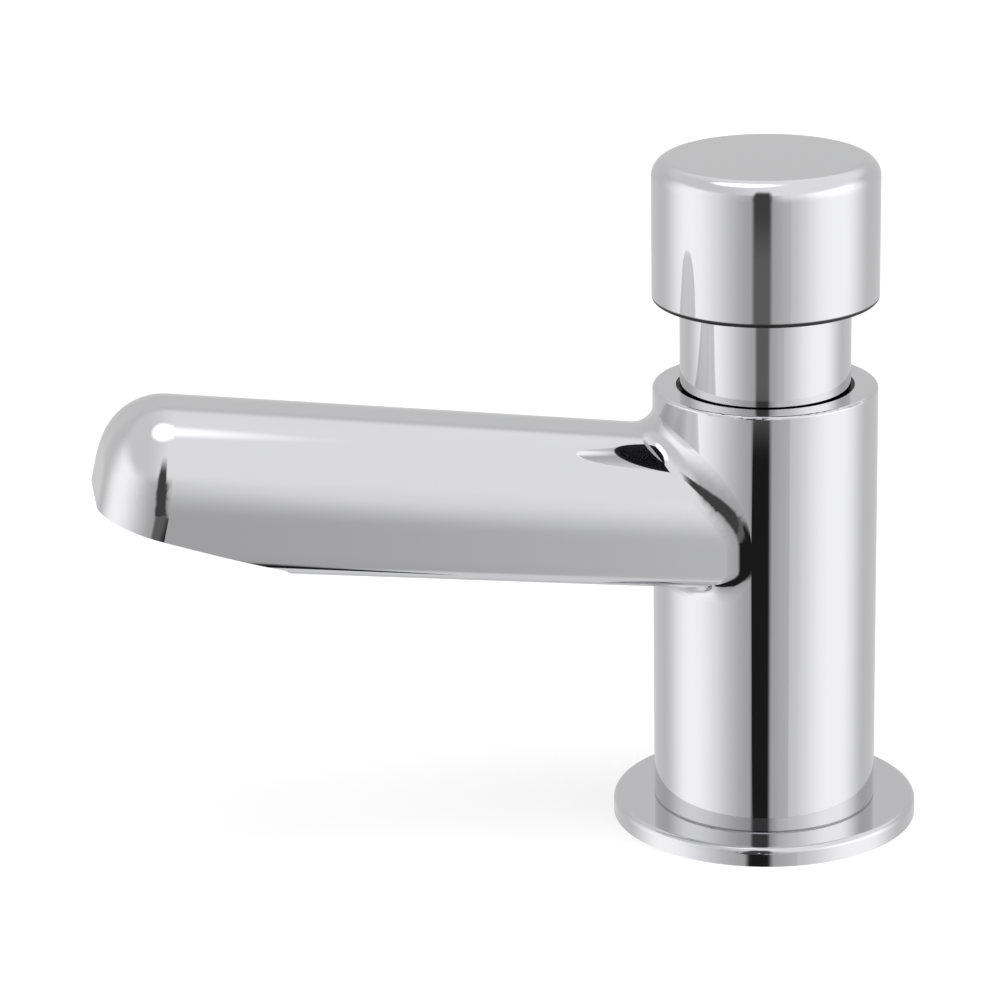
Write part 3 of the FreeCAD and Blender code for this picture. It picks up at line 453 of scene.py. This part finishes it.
tarnish_clouds, given, result = new_group(
    "tarnish_clouds",
    {"Cloud Size": 0.006, "Worn Radius": never_worn, "Worn Width": 0.001},
    ["Share"],
)
tree = tarnish_clouds
clouds = noise(tree, given.outputs["Vector"], given.outputs["Cloud Size"], 6.0, 0.6)
clouds = ease(tree, clouds, 0.38, 0.66)
parts = node(tree, "ShaderNodeSeparateXYZ", {0: given.outputs["Vector"]})
worn_start = arithmetic(
    tree, "SUBTRACT", given.outputs["Worn Radius"], given.outputs["Worn Width"]
)
kept = ease(
    tree, axis_distance(tree, parts), worn_start, given.outputs["Worn Radius"], 1.0, 0.0
)
tree.links.new(arithmetic(tree, "MULTIPLY", clouds, kept), result.inputs["Share"])


def between(tree, share, first, second):
    """The first colour where the share is 0 and the second where it is 1."""
    # the node's colour sockets are named as its number sockets are, so they go by position
    inputs = {0: share, 6: (*first, 1), 7: (*second, 1)}
    return node(tree, "ShaderNodeMix", inputs, data_type="RGBA").outputs[2]


def bare_metal(name, bright, dull, group, numbers, clouds, depth):
    """Unplated metal with marks of its making and clouds of tarnish."""
    material, tree, place = new_material(name)
    marks = marks_of(tree, group, place, numbers)
    share = marks_of(tree, tarnish_clouds, place, clouds).outputs["Share"]
    shine(
        tree,
        {
            "Base Color": between(tree, share, bright, dull),
            "Metallic": 1.0,
            "Roughness": marks.outputs["Roughness"],
        },
        marks.outputs["Height"],
        depth,
    )
    return material


def brass(name, ring_size, cloud_size, depth, worn_radius=never_worn):
    """Turned brass, rubbed bright from its worn radius outwards."""
    return bare_metal(
        name,
        brass_bright,
        brass_brown,
        turned_rings,
        {"Ring Size": ring_size, "Low": 0.18, "High": 0.36},
        {"Cloud Size": cloud_size, "Worn Radius": worn_radius, "Worn Width": 0.0012},
        depth,
    )


# Shank and backnut. The shank is screwed up into the body and the backnut grips the deck
# from below. The thread's crests and the nut's corners are rubbed bright.
shank_brass = brass(
    "shank_brass", ring_size=0.0004, cloud_size=0.007, depth=0.000012, worn_radius=0.0122
)
dress(["threaded_shank"], shank_brass)
backnut_brass = brass(
    "backnut_brass", ring_size=0.0005, cloud_size=0.008, depth=0.00002, worn_radius=0.0205
)
dress(["backnut"], backnut_brass)

# Cartridge. A housing with its head and its seat, turned finer than the fixing because
# seals run on it.
cartridge_brass = brass("cartridge_brass", ring_size=0.0003, cloud_size=0.01, depth=0.00001)
dress(["cartridge_housing", "cartridge_head"], cartridge_brass)
seat_brass = brass("seat_brass", ring_size=0.0002, cloud_size=0.005, depth=0.000006)
dress(["valve_seat_bush"], seat_brass)

# Piston and valve. Small turned pieces on the spindle, and the nut that holds them.
piston_brass = brass(
    "piston_brass", ring_size=0.00025, cloud_size=0.006, depth=0.000008, worn_radius=0.0087
)
dress(["piston"], piston_brass)
valve_brass = brass(
    "valve_brass", ring_size=0.0002, cloud_size=0.003, depth=0.000006, worn_radius=0.0041
)
dress(["valve_cup", "valve_nut"], valve_brass)

# Stainless steel, turned. The spindle is centreless ground and the two loose washers are
# faced, which leaves rings.
steel_bright = (0.63, 0.63, 0.62)
steel_dull = (0.5, 0.5, 0.5)


def steel(name, group, numbers, cloud_size, depth):
    """Stainless steel, with the marks of a group and nowhere rubbed bright."""
    clouds = {"Cloud Size": cloud_size}
    return bare_metal(name, steel_bright, steel_dull, group, numbers, clouds, depth)


spindle_steel = steel(
    "spindle_steel",
    turned_rings,
    {"Ring Size": 0.00012, "Low": 0.12, "High": 0.22},
    cloud_size=0.004,
    depth=0.000002,
)
dress(["spindle"], spindle_steel)
washer_steel = steel(
    "washer_steel",
    turned_rings,
    {"Ring Size": 0.0005, "Low": 0.2, "High": 0.34},
    cloud_size=0.006,
    depth=0.000006,
)
dress(["deck_steel_washer", "thrust_washer"], washer_steel)

# Return spring. Wound from drawn stainless wire, which is scored by the drawing die and
# dulled a little by the heat treatment. It is given a mesh of its own.
spring_steel = steel(
    "spring_wire",
    turned_rings,
    {"Ring Size": 0.00008, "Low": 0.22, "High": 0.36},
    cloud_size=0.0025,
    depth=0.000003,
)
dress(["return_spring"], spring_steel)
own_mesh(frame["nodes"]["return_spring"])

# Clips and strainer. Pressed from rolled stainless sheet, so the grain is in straight lines.
rolled_grain, given, result = new_group(
    "rolled_grain", {"Grain Size": 0.0002, "Low": 0.2, "High": 0.36}, ["Roughness", "Height"]
)
tree = rolled_grain
stretched = node(
    tree, "ShaderNodeMapping", {"Vector": given.outputs["Vector"], "Scale": (0.03, 1, 1)}
).outputs[0]
grain = noise(tree, stretched, given.outputs["Grain Size"], 3.0)
tree.links.new(
    ease(tree, grain, 0.35, 0.68, given.outputs["Low"], given.outputs["High"]),
    result.inputs["Roughness"],
)
tree.links.new(grain, result.inputs["Height"])
clip_steel = steel(
    "clip_sheet",
    rolled_grain,
    {"Grain Size": 0.00015, "Low": 0.18, "High": 0.32},
    cloud_size=0.003,
    depth=0.000004,
)
dress(["piston_clip", "spindle_clip"], clip_steel)
strainer_steel = steel(
    "strainer_sheet",
    rolled_grain,
    {"Grain Size": 0.0002, "Low": 0.22, "High": 0.38},
    cloud_size=0.003,
    depth=0.000005,
)
dress(["inlet_strainer"], strainer_steel)

# Rubber. The gasket, the deck washer, the O-rings, the lip seal and the valve's washer are
# moulded black rubber, which is matt, slightly pitted, and greyed in places by its bloom.
rubber_black = (0.022, 0.022, 0.023)
rubber_bloom = (0.06, 0.06, 0.062)

moulded_skin, given, result = new_group(
    "moulded_skin",
    {"Pit Size": 0.0003, "Cloud Size": 0.004, "Low": 0.5, "High": 0.75},
    ["Share", "Roughness", "Height"],
)
tree = moulded_skin
pits = noise(tree, given.outputs["Vector"], given.outputs["Pit Size"], 3.0)
bloom = noise(tree, given.outputs["Vector"], given.outputs["Cloud Size"], 5.0, 0.6)
bloom = ease(tree, bloom, 0.42, 0.7)
tree.links.new(bloom, result.inputs["Share"])
skin = ease(tree, bloom, 0.0, 1.0, given.outputs["Low"], given.outputs["High"])
tree.links.new(skin, result.inputs["Roughness"])
tree.links.new(pits, result.inputs["Height"])


def moulded(name, color, clouded, numbers, depth, turned_about=None):
    """A moulded, non-metal piece."""
    material, tree, place = new_material(name)
    if turned_about:
        place = turned_about(tree, place)
    marks = marks_of(tree, moulded_skin, place, numbers)
    shine(
        tree,
        {
            "Base Color": between(tree, marks.outputs["Share"], color, clouded),
            "Roughness": marks.outputs["Roughness"],
        },
        marks.outputs["Height"],
        depth,
    )
    return material


gasket_rubber = moulded(
    "gasket_rubber",
    rubber_black,
    rubber_bloom,
    {"Pit Size": 0.0004, "Cloud Size": 0.008, "Low": 0.5, "High": 0.72},
    depth=0.00003,
)
dress(["base_gasket", "deck_rubber_washer"], gasket_rubber)
seal_rubber = moulded(
    "seal_rubber",
    rubber_black,
    rubber_bloom,
    {"Pit Size": 0.00015, "Cloud Size": 0.003, "Low": 0.36, "High": 0.55},
    depth=0.000008,
)
dress(
    [
        "housing_lower_o_ring",
        "housing_upper_o_ring",
        "seat_o_ring",
        "head_o_ring",
        "spindle_o_ring",
        "cap_o_ring",
        "piston_lip_seal",
        "valve_washer",
    ],
    seal_rubber,
)

# Plastic bushes and flow regulator. Moulded in white acetal, which is faintly glossy and a
# little yellowed in places.
acetal_white = (0.82, 0.82, 0.8)
acetal_cream = (0.78, 0.77, 0.72)
acetal_numbers = {"Pit Size": 0.0002, "Cloud Size": 0.005, "Low": 0.3, "High": 0.42}
acetal_depth = 0.000006
acetal = moulded("acetal", acetal_white, acetal_cream, acetal_numbers, acetal_depth)
dress(["spindle_guide_bush", "cap_bush", "flow_regulator"], acetal)

# Neck guide ring. A ring of black plastic in a groove of the column's mouth, on which the
# neck slides.
plastic_black = (0.035, 0.035, 0.038)
plastic_grey = (0.055, 0.055, 0.058)
guide_plastic = moulded(
    "guide_plastic",
    plastic_black,
    plastic_grey,
    {"Pit Size": 0.00025, "Cloud Size": 0.004, "Low": 0.35, "High": 0.5},
    depth=0.00001,
)
dress(["neck_guide_ring"], guide_plastic)

# Shank seal washer. Punched from pressed red fibre board, flecked where fibres lie at the
# surface.
fibre_red = (0.34, 0.05, 0.03)
fibre_dark = (0.22, 0.03, 0.02)
fibre_numbers = {"Pit Size": 0.0002, "Cloud Size": 0.0008, "Low": 0.6, "High": 0.85}
fibre = moulded("pressed_fibre", fibre_red, fibre_dark, fibre_numbers, depth=0.00003)
dress(["shank_seal_washer"], fibre)

# Neck. A turned and plated sleeve that slides in the column, polished finest because it is
# seen and felt at each push.
neck_chrome = chrome("neck_chrome", ripple_size=0.01, low=0.015, high=0.035, depth=0.000003)
dress(["neck_sleeve"], neck_chrome)

# Push cap. Turned from brass bar and plated. Its underside faces the column, out of the
# buffing wheel's reach, and stays dull; its near-black colour there is painted shade, for the
# shade under the cap.
underside_depth = 0.0007
underside_fade = 0.0003
underside_painted_shade = (0.04, 0.04, 0.043)
underside_roughness = 0.45
cap_ripple_depth = 0.000004
cap_chrome, tree, place = new_material("cap_chrome")
numbers = {"Ripple Size": 0.011, "Haze Size": haze_size, "Low": 0.02, "High": 0.045}
marks = marks_of(tree, polish_haze, place, numbers)
height = node(tree, "ShaderNodeSeparateXYZ", {0: place}).outputs["Z"]
# The lowest band of the cap, to a little above its underside, gets a near-black painted shade
# colour and a duller roughness.
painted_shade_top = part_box("push_cap")[0][2] + underside_depth
painted_shade_share = ease(tree, height, painted_shade_top, painted_shade_top + underside_fade, 1.0, 0.0)
roughness = blend(tree, painted_shade_share, marks.outputs["Roughness"], underside_roughness)
shine(
    tree,
    {
        "Base Color": between(tree, painted_shade_share, chrome_color, underside_painted_shade),
        "Metallic": 1.0,
        "Roughness": roughness,
    },
    marks.outputs["Height"],
    cap_ripple_depth,
)
dress(["push_cap"], cap_chrome)

# Aerator. A plated housing screwed into the spout's tip, with a pierced plastic insert, a
# wire mesh and a rubber seal. They stand on the outlet's own slanting axis.
mounts = {mount["name"]: mount for mount in frame["record"]["mounts"]}
outlet = mounts["water_outlet"]
outlet_lean = math.atan2(outlet["axis"][1], -outlet["axis"][2])


def about_outlet(tree, place):
    """The place as measured from the outlet, along its axis."""
    inputs = {
        "Vector": place,
        "Location": tuple(outlet["pos_m"]),
        "Rotation": (outlet_lean, 0, 0),
    }
    return node(tree, "ShaderNodeMapping", inputs, vector_type="TEXTURE").outputs[0]


aerator_chrome = chrome("aerator_chrome", ripple_size=0.005, low=0.03, high=0.07, depth=0.000003)
dress(["aerator_housing"], aerator_chrome)
insert_plastic = moulded(
    "insert_plastic",
    acetal_white,
    acetal_cream,
    acetal_numbers,
    acetal_depth,
    turned_about=about_outlet,
)
dress(["aerator_insert"], insert_plastic)
dress(["aerator_seal"], seal_rubber)

# Aerator mesh. Woven stainless wire: each wire passes over one crossing wire and under the
# next, and the gaps between them are open.
wire_pitch = 0.0007
wire_share = 0.56
wire_sway = 0.3
weave_depth = 0.0001

wire_weave, given, result = new_group("wire_weave", {"Pitch": wire_pitch}, ["Open", "Height"])
tree = wire_weave
parts = node(tree, "ShaderNodeSeparateXYZ", {0: given.outputs["Vector"]})
count_x = arithmetic(tree, "DIVIDE", parts.outputs["X"], given.outputs["Pitch"])
count_y = arithmetic(tree, "DIVIDE", parts.outputs["Y"], given.outputs["Pitch"])


def wires(count, other):
    """The rounded tops of one set of wires, raised and sunk by the set that they cross."""
    from_wire = arithmetic(tree, "PINGPONG", count, 0.5)
    round_top = ease(tree, from_wire, 0.0, wire_share / 2, 1.0, 0.0)
    both = arithmetic(tree, "ADD", arithmetic(tree, "FLOOR", count), other)
    wave = arithmetic(tree, "SINE", arithmetic(tree, "MULTIPLY", both, math.pi))
    sway = arithmetic(tree, "MULTIPLY", wave, wire_sway)
    lift = arithmetic(tree, "ADD", sway, 1 - wire_sway)
    return arithmetic(tree, "MULTIPLY", round_top, lift)


tops = arithmetic(tree, "MAXIMUM", wires(count_x, count_y), wires(count_y, count_x))
tree.links.new(ease(tree, tops, 0.02, 0.06), result.inputs["Open"])
tree.links.new(tops, result.inputs["Height"])

mesh_steel, tree, place = new_material("woven_mesh")
place = about_outlet(tree, place)
weave = marks_of(tree, wire_weave, place, {})
drawn = marks_of(tree, turned_rings, place, {"Ring Size": 0.00005, "Low": 0.2, "High": 0.34})
stain = marks_of(tree, tarnish_clouds, place, {"Cloud Size": 0.002})
shine(
    tree,
    {
        "Base Color": between(tree, stain.outputs["Share"], steel_bright, steel_dull),
        "Metallic": 1.0,
        "Roughness": drawn.outputs["Roughness"],
        "Alpha": weave.outputs["Open"],
    },
    weave.outputs["Height"],
    weave_depth,
)
dress(["aerator_mesh"], mesh_steel)
